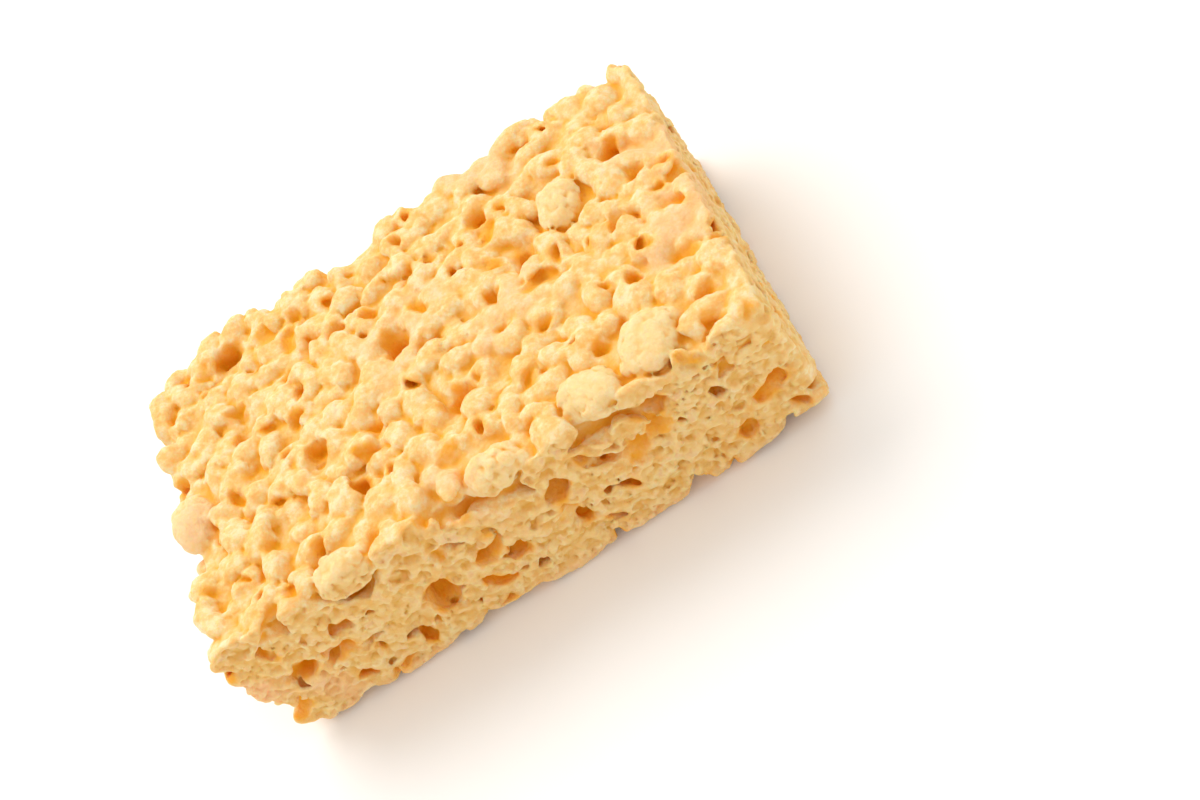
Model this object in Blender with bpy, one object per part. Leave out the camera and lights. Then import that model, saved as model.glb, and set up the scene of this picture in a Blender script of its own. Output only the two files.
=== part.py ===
"""A crisped-rice treat: one cut bar of puffed rice kernels held together by marshmallow.

Metres, +Z up. The origin is the middle of the flat underside, +X runs along the bar's length
and -Y is its long knife-cut side. The bar is one solid: a plain core with the outer kernels
fused on at their true size, trimmed where the pan, the hand or the knife flattened them.
"""

import math

import bmesh
import bpy
import numpy as np
from mathutils import Matrix, Vector

MM = 0.001

# The bar, in millimetres.
LENGTH, DEPTH, HEIGHT = 70.0, 44.5, 21.5
HALF = np.array([LENGTH / 2, DEPTH / 2, HEIGHT / 2])
EDGE_ROUNDING = 1.1

# The crumbled corner at the bottom of the cut side: three points of the plane that bounds it.
CRUMBLED_CORNER = ((21.0, -22.25, 0.0), (35.0, -22.25, 3.6), (35.0, -18.6, 0.0))

# A puffed kernel lies flat: half its length, its width and its thickness, in millimetres.
KERNEL_HALF_SIZE = np.array([2.7, 1.85, 1.6])
SIZE_SPREAD = 0.13
TILT_SPREAD = 0.33
SPACING = 3.55
PER_VOLUME = 1.45 / SPACING**3
PUSH_ROUNDS = 50
PUSH_SHARE = 0.45
CUT_OVERRUN = 4.0
WALL_REACH = 3.1
UNEVEN = 0.42
PRESSED_LEVEL = 20.9
ROOM_ROUND_BIG = 0.5
SEED = 20

# Kernels that stand out: centre, half sizes (mm), heading and tilt (degrees).
BIG_KERNELS = (
    ((15.2, -18.4, 19.3), (3.9, 2.8, 2.3), -25, 4),
    ((23.0, -16.6, 19.1), (4.3, 3.6, 2.5), 60, -6),
    ((-32.0, -2.6, 19.0), (3.4, 2.8, 2.4), 100, 5),
    ((-16.0, -20.4, 19.0), (3.4, 2.7, 2.3), 15, -8),
    ((3.0, -19.8, 19.2), (3.8, 2.4, 2.1), -10, 5),
    ((20.5, 7.2, 19.4), (3.4, 2.5, 2.1), 75, 0),
)

# Gaps left open between kernels: centre and radius (mm). First the top, then the cut side.
GAPS = (
    ((14.6, 3.5, 20.2), 1.5),
    ((28.2, 9.1, 20.4), 1.2),
    ((18.7, -14.6, 20.4), 0.9),
    ((-2.8, 3.2, 20.2), 1.7),
    ((11.2, 12.2, 20.4), 1.1),
    ((24.6, -9.0, 20.6), 0.9),
    ((31.0, -9.6, 20.6), 0.9),
    ((1.6, -9.0, 20.4), 1.4),
    ((-14.9, -5.4, 20.4), 1.1),
    ((-7.8, -5.7, 20.6), 0.8),
    ((-10.9, -11.4, 20.4), 1.1),
    ((-23.5, 4.3, 20.6), 0.9),
    ((-22.9, 17.1, 20.2), 1.5),
    ((-29.4, -6.6, 20.4), 0.9),
    ((5.8, 21.4, 19.4), 1.6),
    ((-6.2, 20.8, 19.4), 1.9),
    ((-34.0, 3.6, 19.6), 1.2),
    ((-34.4, -7.6, 19.8), 1.1),
    ((6.4, -21.4, 13.1), 1.3),
    ((-2.8, -21.4, 19.0), 1.2),
    ((-1.2, -21.6, 8.6), 1.0),
    ((-11.0, -21.3, 8.8), 1.9),
    ((-28.8, -21.6, 10.4), 1.2),
    ((15.0, -21.6, 11.4), 1.0),
    ((6.4, -21.6, 7.2), 1.0),
    ((19.6, -21.2, 16.2), 1.5),
    ((-25.8, -21.4, 19.4), 0.9),
)

# The solid: how far its core stays behind the pressed faces and behind the knife's cuts, which
# kernels are fused on, and how much larger one of flat sides is than the round one it stands for.
PRESSED_INSET, CUT_INSET = 1.4, 0.7
CORE_LOW = np.array([-HALF[0] + PRESSED_INSET, -HALF[1] + CUT_INSET, -1.0])
CORE_HIGH = np.array([HALF[0] - CUT_INSET, HALF[1] - PRESSED_INSET, PRESSED_LEVEL - PRESSED_INSET])
LEAST_SHOWING = 1.1
CUT_REACH = 0.7
FACET_SWELL = 1.12
TRIANGLES_BEFORE_TRIM = 9700
TREAT_COLOUR = (0.93, 0.66, 0.26, 1.0)
TREAT_ROUGHNESS = 0.55


def clear_scene():
    for obj in list(bpy.data.objects):
        bpy.data.objects.remove(obj)


def turn_matrix(heading, tilt, roll):
    """Axes of a kernel as columns: along it, across it and through its thickness."""
    return np.array(
        Matrix.Rotation(heading, 3, "Z")
        @ Matrix.Rotation(-tilt, 3, "Y")
        @ Matrix.Rotation(roll, 3, "X")
    )


def pushed_apart(points, reach, free, low, high):
    """Points nearer than their two reaches push each other away, inside a box, for some rounds."""
    rows, columns = np.triu_indices(len(points), 1)
    least = reach[rows] + reach[columns]
    for _ in range(PUSH_ROUNDS):
        gap = points[rows] - points[columns]
        apart = np.sqrt(gap[:, 0] ** 2 + gap[:, 1] ** 2 + gap[:, 2] ** 2)
        near = apart < least
        step = (least[near] / np.maximum(apart[near], 1e-6) - 1.0) * PUSH_SHARE
        step = np.minimum(step, 1.0)[:, None] * gap[near]
        move = np.zeros_like(points)
        np.add.at(move, rows[near], step)
        np.add.at(move, columns[near], -step)
        points = np.where(free[:, None], np.clip(points + move, low, high), points)
    return points


def kernel_layout():
    """Every kernel of the bar as (centre, turn, half sizes), in millimetres."""
    rng = np.random.default_rng(SEED)
    thin = KERNEL_HALF_SIZE[2]
    low = np.array([-HALF[0] + thin, -HALF[1] - CUT_OVERRUN, thin])
    high = np.array([HALF[0] + CUT_OVERRUN, HALF[1] - thin, HEIGHT - thin])
    count = int(np.prod(high - low) * PER_VOLUME)
    placed = [centre for centre, *_ in BIG_KERNELS]
    gaps = [centre for centre, _ in GAPS]
    points = np.vstack([placed, gaps, rng.uniform(low, high, (count, 3))])
    reach = np.full(len(points), SPACING / 2)
    reach[: len(placed)] = [0.5 * (half[0] + half[1]) + ROOM_ROUND_BIG for _, half, *_ in BIG_KERNELS]
    reach[len(placed) : len(placed) + len(gaps)] = [radius for _, radius in GAPS]
    free = np.arange(len(points)) >= len(placed) + len(gaps)
    points = pushed_apart(points, reach, free, low, high)

    kernels = [
        (np.array(centre), turn_matrix(math.radians(heading), math.radians(tilt), 0.0), np.array(half))
        for centre, half, heading, tilt in BIG_KERNELS
    ]
    for point in points[free]:
        heading = rng.uniform(0.0, math.pi)
        tilt, roll = rng.normal(0.0, TILT_SPREAD, 2)
        turn = turn_matrix(heading, tilt, roll)
        half = KERNEL_HALF_SIZE * np.clip(rng.normal(1.0, SIZE_SPREAD, 3), 0.75, 1.3)
        kernels.append((settled(point, turn, half, rng), turn, half))
    return kernels


def settled(point, turn, half, rng):
    """A kernel beside a pressed face lies against it, some a little lower than others."""
    across = np.sqrt((turn[:, 0] * half[0]) ** 2 + (turn[:, 1] * half[1]) ** 2 + (turn[:, 2] * half[2]) ** 2)
    back = np.abs(rng.normal(0.0, UNEVEN, 4)) - 0.1
    point = point.copy()
    if point[2] > HEIGHT - WALL_REACH:
        point[2] = PRESSED_LEVEL - across[2] - back[0]
    if point[2] < WALL_REACH:
        point[2] = across[2] + back[1]
    if point[0] < -HALF[0] + WALL_REACH:
        point[0] = -HALF[0] + across[0] + back[2]
    if point[1] > HALF[1] - WALL_REACH:
        point[1] = HALF[1] - across[1] - back[3]
    return point


def shows(kernel):
    """Whether a kernel comes well out of a pressed face of the core or is cut near its middle."""
    centre, turn, half = kernel
    across = np.sqrt((turn[:, 0] * half[0]) ** 2 + (turn[:, 1] * half[1]) ** 2 + (turn[:, 2] * half[2]) ** 2)
    over_left = CORE_LOW[0] - centre[0] + across[0]
    over_back_and_top = centre[1:] + across[1:] - CORE_HIGH[1:]
    from_cuts = np.abs([centre[0] - HALF[0], centre[1] + HALF[1]])
    inside = np.abs(centre - [0, 0, HALF[2]]) < HALF + CUT_REACH
    showing = max(over_left, *over_back_and_top) > LEAST_SHOWING or from_cuts.min() < CUT_REACH
    return bool(inside.all() and showing)


def new_object(name, build, collection):
    """A named object whose mesh the given function fills in."""
    mesh = bpy.data.meshes.new(name)
    shape = bmesh.new()
    build(shape)
    shape.to_mesh(mesh)
    shape.free()
    obj = bpy.data.objects.new(name, mesh)
    collection.objects.link(obj)
    return obj


def add_box(shape, low, high, rounding=0.0):
    size = Vector(high) - Vector(low)
    middle = (Vector(high) + Vector(low)) / 2
    bmesh.ops.create_cube(shape, size=1.0, matrix=Matrix.Translation(middle * MM) @ Matrix.Diagonal(size * MM).to_4x4())
    if rounding:
        bmesh.ops.bevel(
            shape, geom=list(shape.edges), offset=rounding * MM, segments=2, profile=0.6, affect="EDGES"
        )


def add_envelope(shape):
    """The bar's outline as pan and knife left it, without its crumbled corner."""
    add_box(shape, [-HALF[0], -HALF[1], 0.0], [HALF[0], HALF[1], HEIGHT], EDGE_ROUNDING)
    start, up, back = [Vector(point) * MM for point in CRUMBLED_CORNER]
    cut = bmesh.ops.bisect_plane(
        shape,
        geom=[*shape.verts, *shape.edges, *shape.faces],
        plane_co=start,
        plane_no=(back - start).cross(up - start),
        clear_outer=True,
    )
    rim = [edge for edge in cut["geom_cut"] if isinstance(edge, bmesh.types.BMEdge)]
    bmesh.ops.contextual_create(shape, geom=rim)
    bmesh.ops.recalc_face_normals(shape, faces=list(shape.faces))


def add_kernel(shape, kernel):
    """A kernel as an egg of twenty sides whose poles lie at its two tips."""
    centre, turn, half = kernel
    poles_along_x = Matrix.Rotation(math.pi / 2, 4, "Y")
    size = Matrix.Diagonal(Vector(half * FACET_SWELL * MM)).to_4x4()
    place = Matrix.Translation(Vector(centre * MM)) @ Matrix(turn.tolist()).to_4x4()
    bmesh.ops.create_icosphere(shape, subdivisions=1, radius=1.0, matrix=place @ size @ poles_along_x)


def apply_modifiers(obj):
    graph = bpy.context.evaluated_depsgraph_get()
    mesh = bpy.data.meshes.new_from_object(obj.evaluated_get(graph))
    obj.modifiers.clear()
    obj.data = mesh


def islands(shape):
    """The bmesh's faces, grouped by what hangs together."""
    left = set(shape.faces)
    groups = []
    while left:
        reached = [left.pop()]
        for face in reached:
            for edge in face.edges:
                for other in edge.link_faces:
                    if other in left:
                        left.remove(other)
                        reached.append(other)
        groups.append(reached)
    return groups


def signed_volume(faces):
    """The volume a closed group of faces holds, negative for the wall of a sealed hollow."""
    total = 0.0
    for face in faces:
        first, *rest = [vert.co for vert in face.verts]
        for a, b in zip(rest, rest[1:]):
            total += first.dot(a.cross(b)) / 6.0
    return total


def keep_one_body(obj):
    """Fills the hollows that the fusing sealed and drops scraps that touch nothing."""
    shape = bmesh.new()
    shape.from_mesh(obj.data)
    bmesh.ops.triangulate(shape, faces=list(shape.faces))
    groups = islands(shape)
    body = max(groups, key=signed_volume)
    spare = [face for group in groups if group is not body for face in group]
    bmesh.ops.delete(shape, geom=spare, context="FACES")
    loose = [vert for vert in shape.verts if not vert.link_faces]
    bmesh.ops.delete(shape, geom=loose, context="VERTS")
    shape.to_mesh(obj.data)
    shape.free()


def treat_material():
    material = bpy.data.materials.new("crisped_rice")
    material.use_nodes = True
    shader = material.node_tree.nodes["Principled BSDF"]
    shader.inputs["Base Color"].default_value = TREAT_COLOUR
    shader.inputs["Roughness"].default_value = TREAT_ROUGHNESS
    shader.inputs["Metallic"].default_value = 0.0
    return material


def build_treat():
    scene = bpy.context.scene
    treat = new_object("crisped_rice_treat", lambda s: add_box(s, CORE_LOW, CORE_HIGH), scene.collection)

    heap = bpy.data.collections.new("kernels")
    scene.collection.children.link(heap)
    for i, kernel in enumerate(filter(shows, kernel_layout())):
        new_object(f"kernel_{i:03d}", lambda s, k=kernel: add_kernel(s, k), heap)

    envelope = new_object("envelope", add_envelope, scene.collection)

    fuse = treat.modifiers.new("fuse_kernels", "BOOLEAN")
    fuse.operation = "UNION"
    fuse.operand_type = "COLLECTION"
    fuse.collection = heap
    fuse.solver = "MANIFOLD"
    apply_modifiers(treat)
    keep_one_body(treat)

    thin = treat.modifiers.new("merge_slivers", "DECIMATE")
    thin.ratio = min(1.0, TRIANGLES_BEFORE_TRIM / len(treat.data.polygons))
    trim = treat.modifiers.new("trim_to_pan_and_knife", "BOOLEAN")
    trim.operation = "INTERSECT"
    trim.object = envelope
    trim.solver = "MANIFOLD"
    apply_modifiers(treat)
    keep_one_body(treat)

    for obj in [*heap.objects, envelope]:
        bpy.data.objects.remove(obj)
    bpy.data.collections.remove(heap)
    treat.data.materials.clear()
    treat.data.materials.append(treat_material())
    return treat


clear_scene()
build_treat()
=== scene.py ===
"""The looks of a crisped-rice treat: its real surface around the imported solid, and a studio.

Lengths are in millimetres until a mesh is made. The kernels lie where the solid has them. They,
the marshmallow between them and the knife's cuts become one distance field on a grid, and the
field's zero level becomes the mesh.
"""

import math

import bpy
import numpy as np
from mathutils import Matrix, Vector


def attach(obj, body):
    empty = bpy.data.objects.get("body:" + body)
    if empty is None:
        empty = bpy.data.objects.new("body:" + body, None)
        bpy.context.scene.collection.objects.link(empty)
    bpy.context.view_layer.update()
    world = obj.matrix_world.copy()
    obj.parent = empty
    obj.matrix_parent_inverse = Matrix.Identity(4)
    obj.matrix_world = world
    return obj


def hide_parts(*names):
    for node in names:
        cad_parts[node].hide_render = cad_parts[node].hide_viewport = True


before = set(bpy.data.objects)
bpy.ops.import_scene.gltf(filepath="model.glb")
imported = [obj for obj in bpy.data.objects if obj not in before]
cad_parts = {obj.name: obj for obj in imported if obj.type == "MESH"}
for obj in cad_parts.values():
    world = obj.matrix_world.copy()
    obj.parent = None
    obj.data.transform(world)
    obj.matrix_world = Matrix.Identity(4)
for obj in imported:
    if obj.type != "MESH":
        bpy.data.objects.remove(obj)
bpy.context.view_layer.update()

NODE = "crisped_rice_treat"
MM = 0.001

# The bar and its kernels, as in the solid.
LENGTH, DEPTH, HEIGHT = 70.0, 44.5, 21.5
HALF = np.array([LENGTH / 2, DEPTH / 2, HEIGHT / 2])
KERNEL_HALF_SIZE = np.array([2.7, 1.85, 1.6])
SIZE_SPREAD, LEAST_SIZE, MOST_SIZE = 0.13, 0.75, 1.3
TILT_SPREAD = 0.33
SPACING = 3.55
PER_VOLUME = 1.45 / SPACING**3
PUSH_ROUNDS = 50
PUSH_SHARE = 0.45
CUT_OVERRUN = 4.0
WALL_REACH = 3.1
UNEVEN, PRESSED_PAST = 0.42, 0.1
PRESSED_LEVEL = 20.9
ROOM_ROUND_BIG = 0.5
SEED = 20
CRUMBLED_CORNER = ((21.0, -22.25, 0.0), (35.0, -22.25, 3.6), (35.0, -18.6, 0.0))

BIG_KERNELS = (
    ((15.2, -18.4, 19.3), (3.9, 2.8, 2.3), -25, 4),
    ((23.0, -16.6, 19.1), (4.3, 3.6, 2.5), 60, -6),
    ((-32.0, -2.6, 19.0), (3.4, 2.8, 2.4), 100, 5),
    ((-16.0, -20.4, 19.0), (3.4, 2.7, 2.3), 15, -8),
    ((3.0, -19.8, 19.2), (3.8, 2.4, 2.1), -10, 5),
    ((20.5, 7.2, 19.4), (3.4, 2.5, 2.1), 75, 0),
)

GAPS = (
    ((14.6, 3.5, 20.2), 1.5),
    ((28.2, 9.1, 20.4), 1.2),
    ((18.7, -14.6, 20.4), 0.9),
    ((-2.8, 3.2, 20.2), 1.7),
    ((11.2, 12.2, 20.4), 1.1),
    ((24.6, -9.0, 20.6), 0.9),
    ((31.0, -9.6, 20.6), 0.9),
    ((1.6, -9.0, 20.4), 1.4),
    ((-14.9, -5.4, 20.4), 1.1),
    ((-7.8, -5.7, 20.6), 0.8),
    ((-10.9, -11.4, 20.4), 1.1),
    ((-23.5, 4.3, 20.6), 0.9),
    ((-22.9, 17.1, 20.2), 1.5),
    ((-29.4, -6.6, 20.4), 0.9),
    ((5.8, 21.4, 19.4), 1.6),
    ((-6.2, 20.8, 19.4), 1.9),
    ((-34.0, 3.6, 19.6), 1.2),
    ((-34.4, -7.6, 19.8), 1.1),
    ((6.4, -21.4, 13.1), 1.3),
    ((-2.8, -21.4, 19.0), 1.2),
    ((-1.2, -21.6, 8.6), 1.0),
    ((-11.0, -21.3, 8.8), 1.9),
    ((-28.8, -21.6, 10.4), 1.2),
    ((15.0, -21.6, 11.4), 1.0),
    ((6.4, -21.6, 7.2), 1.0),
    ((19.6, -21.2, 16.2), 1.5),
    ((-25.8, -21.4, 19.4), 0.9),
)

# The field: its grid, how far it reaches past the bar and how far a kernel is felt.
STEP = 0.22
MARGIN = 2.0
FELT = 1.3
OUTER_SHELL = 5.2
FACES_AFTER_THINNING = 190000

# Marshmallow: how wide it rounds a crease, where it is thin and where it lies in a patch. The patches
# keep clear of holes, and low down beside the pan's floor it lies everywhere.
THIN_COAT, THICK_COAT = 0.2, 0.45
PATCH_SIZE, PATCH_EDGE = 5.0, (0.3, 0.75)
PATCH_CLEAR_OF_HOLES = (0.2, 1.2)
LOW_DOWN = (3.0, 0.5)

# The pressed top, and the core that closes the bar behind its outer kernels.
PRESSED_TOP, PRESS_ROUNDING = 20.9, 0.7
FLOOR_DEPTH, FLOOR_WANDER_SIZE, FLOOR_WANDER, FLOOR_JOIN = 2.7, 3.0, 0.6, 0.6

# Relief of the kernels: size of the features and their height, how far from the surface it is worked
# out, and where it is weaker or stronger.
WARP_SIZE, WARP_HEIGHT = 1.7, 0.45
BLISTER_SIZE, BLISTER_HEIGHT = 1.35, 0.3
WRINKLE_SIZE, WRINKLE_HEIGHT = 0.7, 0.16
BLISTER_STEP = 0.2
RELIEF_REACH = 0.8
USUAL_DOME, USUAL_NUMBER = 0.75, 0.5
SMOOTHER_ON_PATCH, ROUGHER_ON_PROUD = 0.6, 0.8
PROUD_JOIN, PROUD_SKIN = 0.5, (0.35, -0.1)

# The random fields, each with a seed of its own.
TINT_SEED, WARP_SEED, HOLE_WARP_SEED, PATCH_SEED, FLOOR_SEED = 5, 11, 14, 31, 33
BLISTER_SEED, WRINKLE_SEED, PORE_SEED = 41, 43, 51
FRONT_SEED, RIGHT_SEED, CORNER_SEED, EDGE_SEED = 61, 62, 63, 64

# Holes between kernels: how far they reach in, their usual radius and how it varies, the least
# room between two, how much they round off and lean, and how long and short across they are.
PIT_DEPTH = 2.1
PIT_RADIUS, PIT_SPREAD = 0.8, 0.35
PIT_ROOM = 3.0
PIT_LIP, PIT_ASKEW, PIT_INSET = 0.5, 0.35, 0.7
PIT_LONG, PIT_SHORT = 1.4, 0.75
HOLE_WARP_SIZE, HOLE_WARP = 1.1, 0.55
PIT_SEED = 7

# A hole at a known gap: its half sizes for each mm of the gap's radius, what is added in depth, and
# before which y it leads into the cut side. Then how many other holes each face is given, at most.
GAP_SHAPE, GAP_EXTRA = np.array([1.3, 0.95, 2.3]), np.array([0, 0, 0.4])
FRONT_GAPS_BEFORE = -21.0
PITS_ON = (
    ((0, 0, 1), 150),
    ((0, 0, -1), 60),
    ((0, -1, 0), 70),
    ((0, 1, 0), 45),
    ((-1, 0, 0), 28),
    ((1, 0, 0), 40),
)

# Bites out of the cut side's lower edge and two corners (mm), and how round the bar's own edges are.
BITES = (
    ((-25.5, -22.9, 0.2), 1.6),
    ((-13.0, -23.0, -0.2), 1.9),
    ((-2.5, -22.8, 0.4), 1.3),
    ((8.5, -23.0, 0.0), 1.8),
    ((18.0, -22.9, 0.3), 1.5),
    ((34.6, 21.4, 22.0), 2.4),
    ((36.0, -23.4, 6.2), 3.2),
)
BITE_SHAPE = np.array([1.3, 0.9, 1.0])
CORNER_RADIUS, CORNER_UNEVEN = 1.9, 0.35

# Flakes and cracks too thin to last: the share of the room around them that is filled.
FLAKE_SIZE = 0.45
LEAST_FILLED, MOST_FILLED = 0.33, 0.8

# The knife's cuts: a kernel's skin stands, its inside is torn out to an uneven depth, and crumbs
# cover both. Close to a cut the room between kernels is filled.
SKIN = (0.1, 0.6)
TORN_LEAST, TORN_MOST = 0.0, 0.6
PORE_SIZE, PORE_EDGE, PORE_BREAK = 1.5, (0.05, 0.6), 0.3
GRAIN, CRUMB_STEP = 0.6, 0.6
GRAIN_MIDDLE = 0.8
FILLED_BESIDE_CUT, FILLED_SHARE = (3.5, 1.5), 0.8
CUT_WANDER_SIZE, CUT_WANDER = 5.0, 0.6
CUT_INSET = 0.35
CUT_BAND = 2.0
CUT_SHOWS = (0.5, -0.2)

# The last limits: the crumbled corner, the rounded edges, the top and the flat underside.
CRUMBLED_WANDER_SIZE, CRUMBLED_WANDER, CRUMBLED_JOIN = 2.2, 0.6, 0.8
EDGE_WANDER_SIZE, EDGE_JOIN = 3.0, 0.6
TOP_LEEWAY, TOP_JOIN, BASE_JOIN = 0.15, 0.5, 0.4

# What the material reads besides: how far round a hole its painted shade reaches, and how far (mm) around
# a point the filled share is taken for the painted shade in a crease and in a hollow. The field's edge is
# softened before a share is taken, more for these two than for flakes.
HOLE_SHADE_SHOWS = (0.42, -0.05)
CREASE_SHADE_REACH, HOLLOW_SHADE_REACH = 0.7, 2.0
SOFT_EDGE, FLAKE_EDGE = (0.3, -0.3), (0.15, -0.15)

# Points that touch only across a diagonal: rounds of filling at most, and the value they get.
FILL_ROUNDS, FILL_VALUE = 4, -0.02


def turn_matrix(heading, tilt, roll):
    """Axes of a kernel as columns: along it, across it and through its thickness."""
    return np.array(
        Matrix.Rotation(heading, 3, "Z")
        @ Matrix.Rotation(-tilt, 3, "Y")
        @ Matrix.Rotation(roll, 3, "X")
    )


def pushed_apart(points, reach, free, low, high):
    """Points nearer than their two reaches push each other away, inside a box, for some rounds."""
    rows, columns = np.triu_indices(len(points), 1)
    least = reach[rows] + reach[columns]
    for _ in range(PUSH_ROUNDS):
        gap = points[rows] - points[columns]
        apart = np.sqrt(gap[:, 0] ** 2 + gap[:, 1] ** 2 + gap[:, 2] ** 2)
        near = apart < least
        step = (least[near] / np.maximum(apart[near], 1e-6) - 1.0) * PUSH_SHARE
        step = np.minimum(step, 1.0)[:, None] * gap[near]
        move = np.zeros_like(points)
        np.add.at(move, rows[near], step)
        np.add.at(move, columns[near], -step)
        points = np.where(free[:, None], np.clip(points + move, low, high), points)
    return points


def settled(point, turn, half, rng):
    """A kernel beside a pressed face lies against it, some a little lower than others."""
    across = np.sqrt((turn[:, 0] * half[0]) ** 2 + (turn[:, 1] * half[1]) ** 2 + (turn[:, 2] * half[2]) ** 2)
    back = np.abs(rng.normal(0.0, UNEVEN, 4)) - PRESSED_PAST
    point = point.copy()
    if point[2] > HEIGHT - WALL_REACH:
        point[2] = PRESSED_LEVEL - across[2] - back[0]
    if point[2] < WALL_REACH:
        point[2] = across[2] + back[1]
    if point[0] < -HALF[0] + WALL_REACH:
        point[0] = -HALF[0] + across[0] + back[2]
    if point[1] > HALF[1] - WALL_REACH:
        point[1] = HALF[1] - across[1] - back[3]
    return point


def kernel_layout():
    """Every kernel of the bar as (centre, turn, half sizes)."""
    rng = np.random.default_rng(SEED)
    thin = KERNEL_HALF_SIZE[2]
    low = np.array([-HALF[0] + thin, -HALF[1] - CUT_OVERRUN, thin])
    high = np.array([HALF[0] + CUT_OVERRUN, HALF[1] - thin, HEIGHT - thin])
    count = int(np.prod(high - low) * PER_VOLUME)
    placed = [centre for centre, *_ in BIG_KERNELS]
    gaps = [centre for centre, _ in GAPS]
    points = np.vstack([placed, gaps, rng.uniform(low, high, (count, 3))])
    reach = np.full(len(points), SPACING / 2)
    reach[: len(placed)] = [0.5 * (half[0] + half[1]) + ROOM_ROUND_BIG for _, half, *_ in BIG_KERNELS]
    reach[len(placed) : len(placed) + len(gaps)] = [radius for _, radius in GAPS]
    free = np.arange(len(points)) >= len(placed) + len(gaps)
    points = pushed_apart(points, reach, free, low, high)

    kernels = [
        (np.array(centre), turn_matrix(math.radians(heading), math.radians(tilt), 0.0), np.array(half))
        for centre, half, heading, tilt in BIG_KERNELS
    ]
    for point in points[free]:
        heading = rng.uniform(0.0, math.pi)
        tilt, roll = rng.normal(0.0, TILT_SPREAD, 2)
        turn = turn_matrix(heading, tilt, roll)
        half = KERNEL_HALF_SIZE * np.clip(rng.normal(1.0, SIZE_SPREAD, 3), LEAST_SIZE, MOST_SIZE)
        kernels.append((settled(point, turn, half, rng), turn, half))
    return kernels


def pit_turn(normal, rng):
    """Axes of a hole that leads into the bar against a face's normal, a little askew."""
    heading = rng.uniform(0.0, math.pi)
    tilt, roll = rng.normal(0.0, PIT_ASKEW, 2)
    facing = np.array(Vector(normal).to_track_quat("Z", "Y").to_matrix())
    return facing @ turn_matrix(heading, tilt, roll)


def pit_layout():
    """The holes on all faces as (centre, turn, half sizes), first those at the known gaps."""
    rng = np.random.default_rng(PIT_SEED)
    taken = [(np.array(centre), radius) for centre, radius in GAPS]
    taken += [(np.array(centre), max(half)) for centre, half, *_ in BIG_KERNELS]
    pits = []
    for centre, radius in GAPS:
        normal = (0, -1, 0) if centre[1] < FRONT_GAPS_BEFORE else (0, 0, 1)
        pits.append((np.array(centre), pit_turn(normal, rng), radius * GAP_SHAPE + GAP_EXTRA))
    for normal, count in PITS_ON:
        face = np.array(normal)
        for _ in range(count):
            spot = np.where(face == 0, rng.uniform(-HALF, HALF), face * (HALF - PIT_INSET)) + [0, 0, HALF[2]]
            radius = PIT_RADIUS * math.exp(rng.normal(0.0, PIT_SPREAD))
            turn = pit_turn(normal, rng)
            if all(np.linalg.norm(spot - other) > size + PIT_ROOM / 2 for other, size in taken):
                taken.append((spot, PIT_ROOM / 2))
                pits.append((spot, turn, np.array([PIT_LONG * radius, PIT_SHORT * radius, PIT_DEPTH])))
    return pits


def bite_layout():
    rng = np.random.default_rng(PIT_SEED + 1)
    return [(np.array(c), pit_turn((0, -1, 0), rng), r * BITE_SHAPE) for c, r in BITES]


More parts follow.
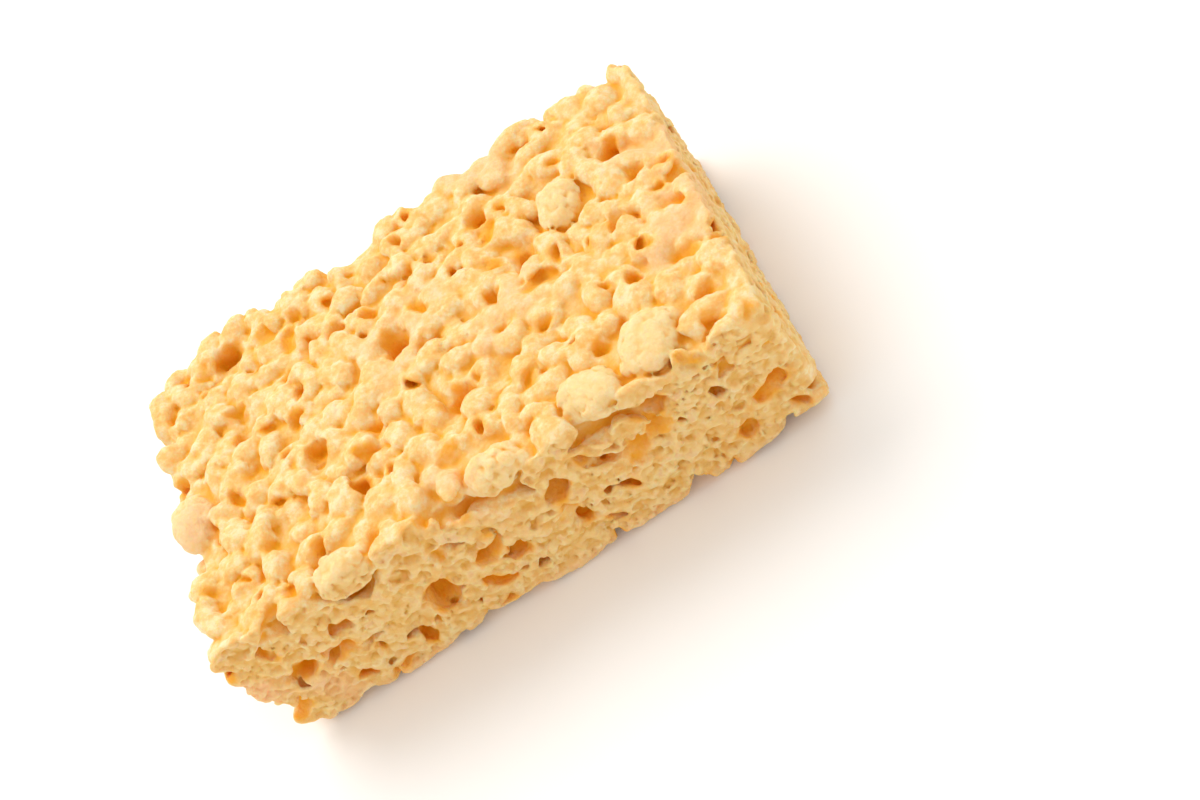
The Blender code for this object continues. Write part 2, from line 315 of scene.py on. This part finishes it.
class Grid:
    """A regular grid of points over the bar and a little around it."""

    def __init__(self, step):
        self.step = step
        self.low = np.array([-HALF[0], -HALF[1], 0.0]) - MARGIN
        high = np.array([HALF[0], HALF[1], HEIGHT]) + MARGIN
        self.shape = tuple(int(n) for n in np.ceil((high - self.low) / step).astype(int) + 1)
        self.axes = [
            (self.low[a] + step * np.arange(self.shape[a])).astype(np.float32) for a in range(3)
        ]

    def noise(self, size, seed):
        """A smooth random field from about -1 to 1, with features of a given size."""
        rng = np.random.default_rng(seed)
        field = rng.uniform(-1.0, 1.0, [self.lattice(a, size) for a in range(3)]).astype(np.float32)
        for a in range(3):
            field = np.moveaxis(np.tensordot(self.spread(a, size), field, (1, a)), 0, a)
        return np.ascontiguousarray(field * 1.9)

    def lattice(self, axis, size):
        return int(self.shape[axis] * self.step / size) + 5

    def spread(self, axis, size):
        """Cubic B-spline weights from the random lattice to the grid's points along one axis."""
        at = np.arange(self.shape[axis]) * self.step / size + 1.0
        cell = np.floor(at).astype(int)
        t = at - cell
        weights = np.zeros((self.shape[axis], self.lattice(axis, size)), np.float32)
        rows = np.arange(len(at))
        weights[rows, cell - 1] = (1 - t) ** 3 / 6
        weights[rows, cell] = (3 * t**3 - 6 * t**2 + 4) / 6
        weights[rows, cell + 1] = (-3 * t**3 + 3 * t**2 + 3 * t + 1) / 6
        weights[rows, cell + 2] = t**3 / 6
        return weights

    def cells(self, size, seed, band):
        """Round cells of a given size at the band's points: a dome over each and its own number."""
        rng = np.random.default_rng(seed)
        lattice = [self.lattice(a, size) for a in range(3)]
        middles = rng.uniform(0.0, 1.0, (*lattice, 3)).astype(np.float32)
        numbers = rng.uniform(0.0, 1.0, lattice).astype(np.float32)
        at = (np.argwhere(band) * (self.step / size) + 1.0).astype(np.float32)
        cell = np.floor(at).astype(np.int32)
        nearest = np.full(len(at), 9.0, np.float32)
        number = np.zeros(len(at), np.float32)
        for offset in np.ndindex(3, 3, 3):
            i, j, k = (cell + np.array(offset, np.int32) - 1).T
            gap = middles[i, j, k] + np.stack([i, j, k], axis=1).astype(np.float32) - at
            away = np.einsum("ij,ij->i", gap, gap)
            closer = away < nearest
            nearest = np.where(closer, away, nearest)
            number = np.where(closer, numbers[i, j, k], number)
        dome, own = np.zeros(self.shape, np.float32), np.full(self.shape, 0.5, np.float32)
        dome[band] = 1.0 - nearest
        own[band] = number
        return dome, own

    def sample(self, field, points):
        """The field between the grid's points, at any points (mm)."""
        at = (points - self.low) / self.step
        cell = np.clip(np.floor(at).astype(int), 0, np.array(self.shape) - 2)
        t = (at - cell).astype(np.float32)
        value = np.zeros(len(points), np.float32)
        for corner in np.ndindex(2, 2, 2):
            weight = np.prod(np.where(np.array(corner), t, 1 - t), axis=1)
            i, j, k = (cell + corner).T
            value += weight * field[i, j, k]
        return value


def smooth_step(low, high, value):
    t = np.clip((value - low) / (high - low), 0.0, 1.0)
    return t * t * (3.0 - 2.0 * t)


def soft_max(a, b, width):
    """The larger of two fields, with the crease between them rounded."""
    h = np.clip(0.5 - 0.5 * (a - b) / width, 0.0, 1.0)
    return a * (1 - h) + b * h + width * h * (1 - h)


def kernel_fields(grid, kernels, warp):
    """The kernels' nearest surface, their thin and thick blends, and their mixed tints."""
    shape = grid.shape
    nearest = np.full(shape, FELT, np.float32)
    thin, thick, tinted, weighed = (np.zeros(shape, np.float32) for _ in range(4))
    tints = np.random.default_rng(TINT_SEED).uniform(0.0, 1.0, len(kernels))
    for (centre, turn, half), tint in zip(kernels, tints):
        reach = half.max() + FELT + WARP_HEIGHT
        first = np.maximum(np.floor((centre - reach - grid.low) / grid.step).astype(int), 0)
        last = np.minimum(np.ceil((centre + reach - grid.low) / grid.step).astype(int) + 1, shape)
        if (last <= first).any():
            continue
        block = tuple(slice(a, b) for a, b in zip(first, last))
        x = grid.axes[0][block[0], None, None] - np.float32(centre[0]) + warp[0][block]
        y = grid.axes[1][None, block[1], None] - np.float32(centre[1]) + warp[1][block]
        z = grid.axes[2][None, None, block[2]] - np.float32(centre[2]) + warp[2][block]
        near = np.zeros(x.shape, np.float32)
        far = np.zeros(x.shape, np.float32)
        for a in range(3):
            along = (x * np.float32(turn[0, a]) + y * np.float32(turn[1, a]) + z * np.float32(turn[2, a]))
            along /= np.float32(half[a])
            along *= along
            near += along
            along /= np.float32(half[a] ** 2)
            far += along
        near = np.sqrt(near)
        away = near * (near - 1.0) / np.sqrt(far + 1e-9)
        felt = away < FELT
        away = np.maximum(away, -1.2 * half[2]).astype(np.float32)
        nearest[block] = np.minimum(nearest[block], away)
        thin_part = np.exp(-away / THIN_COAT)
        thick_part = np.exp(-away / THICK_COAT) - math.exp(-FELT / THICK_COAT)
        thin[block] += np.where(felt, thin_part, 0)
        thick[block] += np.where(felt, thick_part, 0)
        tinted[block] += np.where(felt, thin_part * np.float32(tint), 0)
        weighed[block] += np.where(felt, thin_part, 0)
    least = np.float32(math.exp(-FELT / THIN_COAT))
    thin = -THIN_COAT * np.log(thin + least)
    thick = -THICK_COAT * np.log(thick + math.exp(-FELT / THICK_COAT))
    return nearest, thin, thick, tinted / np.maximum(weighed, 1e-6)


def near_surface(kernel):
    """Whether a kernel lies in the outer layers that can be seen."""
    centre, _, half = kernel
    depth = HALF - np.abs(centre - [0, 0, HALF[2]])
    return depth.min() < OUTER_SHELL and depth.min() > -half.max()


def box_field(grid, inset):
    """Distance to a box inside the bar, negative within it."""
    middle = np.array([0, 0, HALF[2]])
    outside = [np.abs(grid.axes[a] - middle[a]) - (HALF[a] - inset) for a in range(3)]
    return np.maximum(
        np.maximum(outside[0][:, None, None], outside[1][None, :, None]), outside[2][None, None, :]
    )


def rounded_bar(grid):
    """Distance to the bar's box with rounded edges, negative within it."""
    middle = np.array([0, 0, HALF[2]])
    over = [np.abs(grid.axes[a] - middle[a]) - (HALF[a] - CORNER_RADIUS) for a in range(3)]
    over = [np.maximum(part, 0) ** 2 for part in over]
    total = over[0][:, None, None] + over[1][None, :, None] + over[2][None, None, :]
    return np.sqrt(total) - CORNER_RADIUS


def corner_plane(grid):
    """Distance past the plane that bounds the crumbled corner, positive where it is gone."""
    start, up, back = [Vector(point) for point in CRUMBLED_CORNER]
    normal = (back - start).cross(up - start).normalized()
    parts = [normal[a] * (grid.axes[a] - start[a]) for a in range(3)]
    return parts[0][:, None, None] + parts[1][None, :, None] + parts[2][None, None, :]


def torn(grid, nearest, depth, pores, crumbs, seed):
    """The surface that a knife leaves: depth is how far behind its plane a point lies."""
    inside = smooth_step(*SKIN, -nearest)
    wander = CUT_WANDER * grid.noise(CUT_WANDER_SIZE, seed)
    tear = inside * (TORN_LEAST + (TORN_MOST - TORN_LEAST) * pores)
    return tear + wander * 0.5 + crumbs + CUT_INSET - depth


def treat_fields(grid):
    """The bar's surface as a field, and the fields that colour it."""
    layout = kernel_layout()
    proud = layout[: len(BIG_KERNELS)]
    kernels = [kernel for kernel in layout[len(BIG_KERNELS) :] if near_surface(kernel)]
    warp = [WARP_HEIGHT * grid.noise(WARP_SIZE, WARP_SEED + a) for a in range(3)]
    nearest, thin, thick, tint = kernel_fields(grid, kernels, warp)
    _, proud_coat, _, _ = kernel_fields(grid, proud, warp)
    warp = [HOLE_WARP * grid.noise(HOLE_WARP_SIZE, HOLE_WARP_SEED + a) for a in range(3)]
    _, hole, _, _ = kernel_fields(grid, pit_layout(), warp)
    _, bite, _, _ = kernel_fields(grid, bite_layout(), warp)
    low_down = smooth_step(*LOW_DOWN, grid.axes[2])[None, None, :]
    patch = smooth_step(*PATCH_EDGE, grid.noise(PATCH_SIZE, PATCH_SEED))
    patch = np.maximum(patch * smooth_step(*PATCH_CLEAR_OF_HOLES, hole), low_down)
    behind_front = grid.axes[1][None, :, None] + np.float32(HALF[1])
    behind_right = np.float32(HALF[0]) - grid.axes[0][:, None, None]
    beside_cut = smooth_step(*FILLED_BESIDE_CUT, np.minimum(behind_front, behind_right))
    surface = thin + (thick - thin) * np.maximum(patch, FILLED_SHARE * beside_cut)
    surface = soft_max(surface, (grid.axes[2] - PRESSED_TOP)[None, None, :], PRESS_ROUNDING)
    surface = -soft_max(-surface, -proud_coat, PROUD_JOIN)
    surface = soft_max(surface, -hole, PIT_LIP)
    surface = soft_max(surface, -bite, PIT_LIP)

    skin = np.abs(surface) < RELIEF_REACH
    near_cut = (np.abs(behind_front) < CUT_BAND) | (np.abs(behind_right) < CUT_BAND)
    at_cut = (surface < RELIEF_REACH) & near_cut
    blister, pale = grid.cells(BLISTER_SIZE, BLISTER_SEED, skin | at_cut)
    wrinkle, speck = grid.cells(WRINKLE_SIZE, WRINKLE_SEED, skin | at_cut)
    proud_skin = smooth_step(*PROUD_SKIN, proud_coat)
    rough = np.where(skin, 1.0 - SMOOTHER_ON_PATCH * patch + ROUGHER_ON_PROUD * proud_skin, 0.0)
    surface -= BLISTER_HEIGHT * rough * (blister - USUAL_DOME) + BLISTER_STEP * rough * (pale - USUAL_NUMBER)
    surface -= WRINKLE_HEIGHT * rough * (wrinkle - USUAL_DOME)
    floor = box_field(grid, FLOOR_DEPTH) + FLOOR_WANDER * grid.noise(FLOOR_WANDER_SIZE, FLOOR_SEED)
    floor = soft_max(floor, -hole, PIT_LIP)
    surface = -soft_max(-surface, -floor, FLOOR_JOIN)

    broken = np.abs(grid.noise(PORE_SIZE, PORE_SEED)) + PORE_BREAK * (speck - USUAL_NUMBER)
    pores = smooth_step(*PORE_EDGE, broken)
    crumbs = GRAIN * (GRAIN_MIDDLE - wrinkle) + CRUMB_STEP * (USUAL_NUMBER - speck)
    crumbs += 0.5 * CRUMB_STEP * (USUAL_NUMBER - pale)
    front = torn(grid, nearest, behind_front, pores, crumbs, FRONT_SEED)
    right = torn(grid, nearest, behind_right, pores, crumbs, RIGHT_SEED)
    cuts = np.maximum(front, right)
    cut = smooth_step(*CUT_SHOWS, surface - cuts)
    surface = np.maximum(surface, cuts)

    crumbled = corner_plane(grid) + CRUMBLED_WANDER * grid.noise(CRUMBLED_WANDER_SIZE, CORNER_SEED)
    surface = soft_max(surface, crumbled, CRUMBLED_JOIN)
    bar = rounded_bar(grid) + CORNER_UNEVEN * grid.noise(EDGE_WANDER_SIZE, EDGE_SEED)
    surface = soft_max(surface, bar, EDGE_JOIN)
    surface = soft_max(surface, (grid.axes[2] - HEIGHT - TOP_LEEWAY)[None, None, :], TOP_JOIN)
    surface = soft_max(surface, -grid.axes[2][None, None, :], BASE_JOIN)
    colours = {"tint": tint, "patch": patch, "cut": cut, "pale": pale, "speck": speck}
    colours["proud"] = proud_skin
    # Painted shade for the holes: full inside a hole and fading out a little way round it.
    colours["hole"] = smooth_step(*HOLE_SHADE_SHOWS, hole)
    return surface.astype(np.float32), colours


def well_composed(field):
    """Fills points that touch only across a diagonal, so that the surface never pinches."""
    for _ in range(FILL_ROUNDS):
        solid = field < 0
        fill = np.zeros(solid.shape, bool)
        for a, b in ((0, 1), (1, 2), (0, 2)):
            views = [take(solid, {a: i, b: j}) for i in (0, 1) for j in (0, 1)]
            first = views[0] & views[3] & ~views[1] & ~views[2]
            second = views[1] & views[2] & ~views[0] & ~views[3]
            take(fill, {a: 0, b: 1})[...] |= first
            take(fill, {a: 0, b: 0})[...] |= second
        for j, k in np.ndindex(2, 2):
            start = take(solid, {0: 0, 1: j, 2: k})
            end = take(solid, {0: 1, 1: 1 - j, 2: 1 - k})
            rest = [
                take(solid, {0: a, 1: b, 2: c})
                for a, b, c in np.ndindex(2, 2, 2)
                if (a, b, c) not in ((0, j, k), (1, 1 - j, 1 - k))
            ]
            pinched = start & end & ~np.logical_or.reduce(rest)
            filled = ~start & ~end & np.logical_and.reduce(rest)
            take(fill, {0: 0, 1: 1 - j, 2: k})[...] |= pinched
            take(fill, {0: 1, 1: 1 - j, 2: k})[...] |= pinched
            take(fill, {0: 0, 1: j, 2: k})[...] |= filled
        fill &= ~solid
        if not fill.any():
            break
        field[fill] = FILL_VALUE
    return field


def take(array, ends):
    """The array without its last slice (0) or its first slice (1) along the axes named."""
    cut = [slice(None)] * 3
    for axis in range(3):
        if axis in ends:
            cut[axis] = slice(1, None) if ends[axis] else slice(None, -1)
    return array[tuple(cut)]


def surface_nets(field, grid):
    """The field's zero level as points (mm) and four-sided faces that look outwards."""
    solid = field < 0
    count = sum(take(solid, dict(enumerate(c))).astype(np.int8) for c in np.ndindex(2, 2, 2))
    active = (count > 0) & (count < 8)
    index = np.full(active.shape, -1, np.int32)
    index[active] = np.arange(active.sum())
    cells = np.argwhere(active)
    corners = [np.array(c) for c in np.ndindex(2, 2, 2)]
    values = [field[tuple((cells + c).T)] for c in corners]
    total = np.zeros((len(cells), 3))
    hits = np.zeros(len(cells))
    for i, a in enumerate(corners):
        for j, b in enumerate(corners):
            if (b - a).min() < 0 or (b - a).sum() != 1:
                continue
            crossed = (values[i] < 0) != (values[j] < 0)
            t = values[i] / np.where(crossed, values[i] - values[j], 1.0)
            total += np.where(crossed[:, None], a + t[:, None] * (b - a), 0.0)
            hits += crossed
    points = grid.low + grid.step * (cells + total / hits[:, None])

    faces = []
    for axis in range(3):
        b, c = (axis + 1) % 3, (axis + 2) % 3
        start, end = take(solid, {axis: 0}), take(solid, {axis: 1})
        for inside_first in (True, False):
            at = np.argwhere((start & ~end) if inside_first else (~start & end))
            ring = []
            for along_b, along_c in ((-1, -1), (0, -1), (0, 0), (-1, 0)):
                cell = at.copy()
                cell[:, b] += along_b
                cell[:, c] += along_c
                ring.append(index[tuple(cell.T)])
            quads = np.stack(ring, axis=1)
            faces.append(quads if inside_first else quads[:, ::-1])
    return points, np.concatenate(faces)


def largest_body(points, faces):
    """Only the largest connected surface: no sealed hollow and no loose scrap."""
    label = np.arange(len(points))
    edges = np.stack([faces, np.roll(faces, -1, axis=1)], axis=2).reshape(-1, 2)
    while True:
        low = np.minimum(label[edges[:, 0]], label[edges[:, 1]])
        new = label.copy()
        np.minimum.at(new, label[edges[:, 0]], low)
        np.minimum.at(new, label[edges[:, 1]], low)
        new = new[new]
        if (new == label).all():
            break
        label = new
    main = np.bincount(label).argmax()
    keep = label == main
    renumber = np.cumsum(keep) - 1
    return points[keep], renumber[faces[keep[faces[:, 0]]]]


def mesh_from(name, points, faces):
    """A mesh from points in millimetres and faces that all have as many sides."""
    mesh = bpy.data.meshes.new(name)
    mesh.vertices.add(len(points))
    mesh.vertices.foreach_set("co", (points * MM).astype(np.float32).ravel())
    mesh.loops.add(faces.size)
    mesh.loops.foreach_set("vertex_index", faces.astype(np.int32).ravel())
    mesh.polygons.add(len(faces))
    mesh.polygons.foreach_set("loop_start", np.arange(0, faces.size, faces.shape[1], dtype=np.int32))
    mesh.update(calc_edges=True)
    mesh.validate()
    return mesh


def apply_modifiers(obj):
    graph = bpy.context.evaluated_depsgraph_get()
    mesh = bpy.data.meshes.new_from_object(obj.evaluated_get(graph))
    obj.modifiers.clear()
    obj.data = mesh


def without_scraps(mesh):
    """The points (mm) and triangles of a thinned mesh, less the scraps that thinning pinched off."""
    points = np.empty(len(mesh.vertices) * 3, np.float32)
    mesh.vertices.foreach_get("co", points)
    mesh.calc_loop_triangles()
    faces = np.empty(len(mesh.loop_triangles) * 3, np.int32)
    mesh.loop_triangles.foreach_get("vertices", faces)
    faces = faces.reshape(-1, 3)
    _, which, count = np.unique(np.sort(faces, axis=1), axis=0, return_inverse=True, return_counts=True)
    back_to_back = count[which.ravel()] > 1
    return largest_body(points.reshape(-1, 3).astype(np.float64) / MM, faces[~back_to_back])


def blurred(field, cells):
    """The mean over a cube around each point, by running sums."""
    for axis in range(3):
        before = np.repeat(field.take([0], axis), cells + 1, axis)
        after = np.repeat(field.take([-1], axis), cells, axis)
        padded = np.concatenate([before, field, after], axis)
        total = np.cumsum(padded, axis, dtype=np.float64)
        n = field.shape[axis]
        upper = np.take(total, np.arange(2 * cells + 1, 2 * cells + 1 + n), axis)
        lower = np.take(total, np.arange(n), axis)
        field = ((upper - lower) / (2 * cells + 1)).astype(np.float32)
    return field


def build_treat():
    grid = Grid(STEP)
    field, colours = treat_fields(grid)
    filled = blurred(smooth_step(*FLAKE_EDGE, field), round(FLAKE_SIZE / grid.step))
    field = np.maximum(field, LEAST_FILLED - filled)
    field = np.minimum(field, MOST_FILLED - filled)
    field = well_composed(field)
    points, faces = largest_body(*surface_nets(field, grid))
    treat = bpy.data.objects.new("crisped_rice_surface", mesh_from("crisped_rice_surface", points, faces))
    bpy.context.scene.collection.objects.link(treat)
    thin = treat.modifiers.new("thin", "DECIMATE")
    thin.ratio = min(1.0, FACES_AFTER_THINNING / (2 * len(faces)))
    apply_modifiers(treat)
    at, faces = without_scraps(treat.data)
    treat.data = mesh_from("crisped_rice_surface", at, faces)
    treat.data.shade_smooth()

    # Painted shade: the filled share around a point is high in creases and hollows, and there the colour is
    # made deeper orange.
    solid = smooth_step(*SOFT_EDGE, field)
    colours["crease"] = blurred(solid, round(CREASE_SHADE_REACH / grid.step))
    colours["hollow"] = blurred(solid, round(HOLLOW_SHADE_REACH / grid.step))
    for name, values in colours.items():
        layer = treat.data.attributes.new(name, "FLOAT", "POINT")
        layer.data.foreach_set("value", grid.sample(values, at))
    return treat


def node(tree, kind, **settings):
    made = tree.nodes.new(kind)
    for name, value in settings.items():
        setattr(made, name, value)
    return made


def ramp(tree, source, stops):
    """A colour ramp over a socket, from (place, colour) stops."""
    made = tree.nodes.new("ShaderNodeValToRGB")
    for i, (place, colour) in enumerate(stops):
        stop = made.color_ramp.elements[i] if i < 2 else made.color_ramp.elements.new(place)
        stop.position = place
        stop.color = (*colour, 1.0)
    tree.links.new(source, made.inputs["Fac"])
    return made.outputs["Color"]


def attribute(tree, name):
    return node(tree, "ShaderNodeAttribute", attribute_name=name).outputs["Fac"]


def mixed(tree, factor, first, second):
    """The first colour with a share of the second; each may be a socket, a colour or a number."""
    made = node(tree, "ShaderNodeMix", data_type="RGBA")
    for socket, value in zip((0, 6, 7), (factor, first, second)):
        if isinstance(value, (int, float)):
            made.inputs[socket].default_value = value
        elif isinstance(value, tuple):
            made.inputs[socket].default_value = (*value, 1.0)
        else:
            tree.links.new(value, made.inputs[socket])
    return made.outputs[2]


def mask(tree, name, low, high):
    """From nothing to all as an attribute goes from low to high."""
    return ramp(tree, attribute(tree, name), ((low, (0, 0, 0)), (high, (1, 1, 1))))


def noise(tree, coords, scale, **inputs):
    """Fine noise in the object's own space; the scale is per metre."""
    made = node(tree, "ShaderNodeTexNoise")
    made.inputs["Scale"].default_value = scale
    for name, value in inputs.items():
        made.inputs[name].default_value = value
    tree.links.new(coords, made.inputs["Vector"])
    return made.outputs["Fac"]


# Colours as the shader takes them: stops from one end of a field to the other, then single ones.
KERNEL_COLOURS = ((0.0, (0.84, 0.54, 0.17)), (1.0, (0.86, 0.64, 0.30)))
BLISTER_COLOURS = ((0.0, (0.86, 0.48, 0.11)), (1.0, (0.88, 0.72, 0.40)))
FLECK_COLOURS = ((0.0, (0.85, 0.49, 0.13)), (1.0, (0.87, 0.72, 0.38)))
MOTTLE_COLOURS = ((0.36, (0.88, 0.43, 0.10)), (0.5, (0.87, 0.62, 0.27)), (0.62, (0.88, 0.79, 0.52)))
# The cut sides' colours: partly the torn crumbs' own tan, partly painted shade that darkens those sides.
CRUMB_AND_SHADE_COLOURS = (
    (0.0, (0.70, 0.35, 0.07)),
    (0.4, (0.78, 0.46, 0.13)),
    (0.75, (0.84, 0.60, 0.26)),
    (1.0, (0.76, 0.44, 0.22)),
)
PROUD_COLOUR = (0.88, 0.69, 0.36)
# The crease, hollow and hole colours below are painted shade: a deep orange where light is shut in.
CREASE_SHADE_COLOUR = (0.88, 0.44, 0.05)
PATCH_COLOUR = (0.90, 0.54, 0.30)
HOLLOW_SHADE_COLOUR = (0.86, 0.36, 0.008)
HOLE_SHADE_COLOUR = (0.87, 0.37, 0.006)

# How much of each goes over what is below it, and where the painted shade of a crease and a hollow begins
# and is full.
BLISTER_SHARE, FLECK_SHARE, MOTTLE_SHARE, PROUD_SHARE = 0.5, 0.35, 0.6, 0.7
CRUMB_AND_SHADE_SHARE, PATCH_SHARE, HOLLOW_SHADE_SHARE, HOLE_SHADE_SHARE = 0.7, 0.45, 0.75, 0.8
CREASE_SHADE_SHOWS, HOLLOW_SHADE_SHOWS = (0.47, 0.68), (0.6, 0.82)

MOTTLE_SCALE, MOTTLE_DETAIL, MOTTLE_ROUGHNESS = 750.0, 5.0, 0.65
FINE_SCALE, FINE_DETAIL = 1700.0, 5.0
BUMP_STRENGTH, BUMP_DISTANCE = 0.6, 0.0004
SHADER_VALUES = {
    "Roughness": 0.75,
    "Specular IOR Level": 0.12,
    "Subsurface Weight": 0.5,
    "Subsurface Radius": (1.0, 0.4, 0.15),
    "Subsurface Scale": 0.0012,
}


def surface_colour(tree, coords):
    """Kernels with blisters and mottling, and over them painted shade in creases, crumbs that are partly
    painted shade, marshmallow, and painted shade in hollows and holes.
    """
    kernel = ramp(tree, attribute(tree, "tint"), KERNEL_COLOURS)
    blister = ramp(tree, attribute(tree, "pale"), BLISTER_COLOURS)
    fleck = ramp(tree, attribute(tree, "speck"), FLECK_COLOURS)
    colour = mixed(tree, FLECK_SHARE, mixed(tree, BLISTER_SHARE, kernel, blister), fleck)
    mottle = noise(tree, coords, MOTTLE_SCALE, Detail=MOTTLE_DETAIL, Roughness=MOTTLE_ROUGHNESS)
    colour = mixed(tree, MOTTLE_SHARE, colour, ramp(tree, mottle, MOTTLE_COLOURS))
    proud = mixed(tree, PROUD_SHARE, colour, PROUD_COLOUR)
    colour = mixed(tree, attribute(tree, "proud"), colour, proud)
    # Painted shade in the creases.
    colour = mixed(tree, mask(tree, "crease", *CREASE_SHADE_SHOWS), colour, CREASE_SHADE_COLOUR)
    # On the cut sides: crumb colour that is partly painted shade.
    crumbs = mixed(tree, CRUMB_AND_SHADE_SHARE, colour, ramp(tree, attribute(tree, "speck"), CRUMB_AND_SHADE_COLOURS))
    colour = mixed(tree, attribute(tree, "cut"), colour, crumbs)
    colour = mixed(tree, attribute(tree, "patch"), colour, mixed(tree, PATCH_SHARE, colour, PATCH_COLOUR))
    # Painted shade in the hollows, then in the holes.
    shaded_hollow = mixed(tree, HOLLOW_SHADE_SHARE, colour, HOLLOW_SHADE_COLOUR)
    colour = mixed(tree, mask(tree, "hollow", *HOLLOW_SHADE_SHOWS), colour, shaded_hollow)
    return mixed(tree, attribute(tree, "hole"), colour, mixed(tree, HOLE_SHADE_SHARE, colour, HOLE_SHADE_COLOUR))


def treat_material():
    material = bpy.data.materials.new("crisped_rice")
    material.use_nodes = True
    tree = material.node_tree
    shader = tree.nodes["Principled BSDF"]
    coords = node(tree, "ShaderNodeTexCoord").outputs["Object"]
    tree.links.new(surface_colour(tree, coords), shader.inputs["Base Color"])
    bump = node(tree, "ShaderNodeBump")
    bump.inputs["Strength"].default_value = BUMP_STRENGTH
    bump.inputs["Distance"].default_value = BUMP_DISTANCE
    tree.links.new(noise(tree, coords, FINE_SCALE, Detail=FINE_DETAIL), bump.inputs["Height"])
    tree.links.new(bump.outputs["Normal"], shader.inputs["Normal"])
    for name, value in SHADER_VALUES.items():
        shader.inputs[name].default_value = value
    return material


# The camera, as a box fitted to the photo's edges gives it (mm, from the middle of the underside).
CAMERA_PLACE = (45.76, -126.50, 140.62)
CAMERA_FORWARD = (-0.18189656, 0.64975488, -0.73805978)
CAMERA_UP = (0.53533931, 0.69503218, 0.47993968)
LENS = 50.0
SENSOR = 36.0


def place_camera():
    forward = Vector(CAMERA_FORWARD).normalized()
    right = forward.cross(Vector(CAMERA_UP)).normalized()
    up = right.cross(forward)
    turn = Matrix((right, up, -forward)).transposed().to_4x4()
    camera = bpy.data.objects.new("camera", bpy.data.cameras.new("camera"))
    camera.data.lens = LENS
    camera.data.sensor_width = SENSOR
    camera.data.clip_start = 0.01
    camera.matrix_world = Matrix.Translation(Vector(CAMERA_PLACE) * MM) @ turn
    bpy.context.scene.collection.objects.link(camera)
    bpy.context.scene.camera = camera


# The studio: an even sky, one soft lamp behind the bar to the left, and a plain floor (metres).
SKY_COLOUR, SKY_STRENGTH = (1.0, 0.98, 0.95, 1.0), 0.97
KEY_PLACE, KEY_AIM = (-0.25, 0.45, 0.65), (0, 0, 0.01)
KEY_SIZE, KEY_POWER, KEY_COLOUR = 0.6, 3.3, (1.0, 0.98, 0.94)
FLOOR_REACH = 3.0
FLOOR_COLOUR, FLOOR_ROUGHNESS = (0.93, 0.92, 0.91, 1.0), 0.6


def build_sky_and_lamp():
    world = bpy.data.worlds.new("studio")
    world.use_nodes = True
    sky = world.node_tree.nodes["Background"]
    sky.inputs["Color"].default_value = SKY_COLOUR
    sky.inputs["Strength"].default_value = SKY_STRENGTH
    bpy.context.scene.world = world

    light = bpy.data.lights.new("key", "AREA")
    light.shape = "DISK"
    light.size = KEY_SIZE
    light.energy = KEY_POWER
    light.color = KEY_COLOUR
    lamp = bpy.data.objects.new("key", light)
    lamp.location = KEY_PLACE
    lamp.rotation_euler = (Vector(KEY_AIM) - Vector(KEY_PLACE)).to_track_quat("-Z", "Y").to_euler()
    bpy.context.scene.collection.objects.link(lamp)


def build_floor():
    floor = bpy.data.objects.new("floor", bpy.data.meshes.new("floor"))
    corners = [(FLOOR_REACH * x, FLOOR_REACH * y, 0) for x, y in ((-1, -1), (1, -1), (1, 1), (-1, 1))]
    floor.data.from_pydata(corners, [], [(0, 1, 2, 3)])
    paint = bpy.data.materials.new("floor")
    paint.use_nodes = True
    shader = paint.node_tree.nodes["Principled BSDF"]
    shader.inputs["Base Color"].default_value = FLOOR_COLOUR
    shader.inputs["Roughness"].default_value = FLOOR_ROUGHNESS
    floor.data.materials.append(paint)
    bpy.context.scene.collection.objects.link(floor)


treat = build_treat()
treat.data.materials.append(treat_material())
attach(treat, "root")
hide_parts(NODE)
place_camera()
build_sky_and_lamp()
build_floor()
bpy.context.scene.view_settings.view_transform = "Standard"
